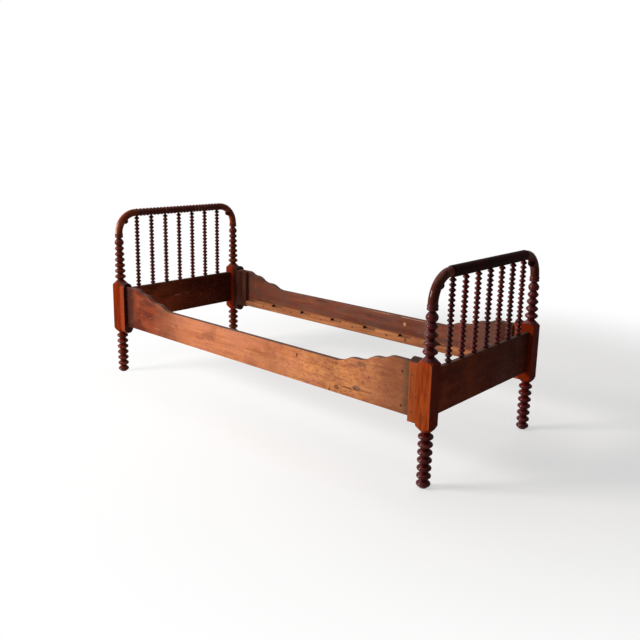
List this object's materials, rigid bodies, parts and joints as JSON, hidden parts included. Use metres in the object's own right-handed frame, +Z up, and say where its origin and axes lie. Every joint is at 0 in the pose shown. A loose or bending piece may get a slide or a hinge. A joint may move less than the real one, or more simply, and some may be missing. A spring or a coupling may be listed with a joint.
{
  "type": "bed frame",
  "caption": "Narrow single bed frame: two spool-turned ends with spindles and rounded top corners, joined by scalloped side rails that hook into the posts and carry ledges for slats.",
  "frame": {"origin": "on the floor, under the middle of the bed", "axes": "+X along the bed towards the foot end, +Y across it towards the far side, +Z up"},
  "size_m": [1.963, 0.831, 0.8544],
  "materials": {
    "turned_wood": "worn gloss over dark red-brown stain",
    "roll_wood": "gloss, nearly black",
    "panel_wood": "old satin varnish over dark stain",
    "block_wood": "satin orange-brown varnish",
    "side_rail_wood": "faded matte varnish, reddish tan",
    "cleat_wood": "dull dark grey-brown",
    "ledge_wood": "bare orange softwood, satin",
    "dowel_wood": "bare wood",
    "iron": "dull, browned with age"
  },
  "bodies": {
    "root": {"head_post_near": "turned_wood", "head_post_far": "turned_wood", "head_bend_near": "turned_wood", "head_bend_far": "turned_wood", "head_button_near": "turned_wood", "head_button_far": "turned_wood", "head_hook_block_near": "block_wood", "head_hook_block_far": "block_wood", "head_cleat_near": "cleat_wood", "head_cleat_far": "cleat_wood", "head_iron_near": "iron", "head_iron_far": "iron", "head_pins_near": "iron", "head_pins_far": "iron", "head_rivets_near": "iron", "head_rivets_far": "iron", "foot_post_near": "turned_wood", "foot_post_far": "turned_wood", "foot_bend_near": "turned_wood", "foot_bend_far": "turned_wood", "foot_button_near": "turned_wood", "foot_button_far": "turned_wood", "foot_hook_block_near": "block_wood", "foot_hook_block_far": "block_wood", "foot_cleat_near": "cleat_wood", "foot_cleat_far": "cleat_wood", "foot_iron_near": "iron", "foot_iron_far": "iron", "foot_pins_near": "iron", "foot_pins_far": "iron", "foot_rivets_near": "iron", "foot_rivets_far": "iron", "head_top_rail": "turned_wood", "head_dowels": "dowel_wood", "head_panel": "panel_wood", "foot_top_rail": "roll_wood", "foot_dowels": "dowel_wood", "foot_panel": "panel_wood", "head_spindle_1": "turned_wood", "head_spindle_2": "turned_wood", "head_spindle_3": "turned_wood", "head_spindle_4": "turned_wood", "head_spindle_5": "turned_wood", "head_spindle_6": "turned_wood", "head_spindle_7": "turned_wood", "foot_spindle_1": "turned_wood", "foot_spindle_2": "turned_wood", "foot_spindle_3": "turned_wood", "foot_spindle_4": "turned_wood", "foot_spindle_5": "turned_wood", "foot_spindle_6": "turned_wood", "foot_spindle_7": "turned_wood", "side_rail_near": "side_rail_wood", "slat_ledge_near": "ledge_wood", "ledge_screws_near": "iron", "side_rail_far": "side_rail_wood", "slat_ledge_far": "ledge_wood", "ledge_screws_far": "iron"}
  },
  "joints": []
}
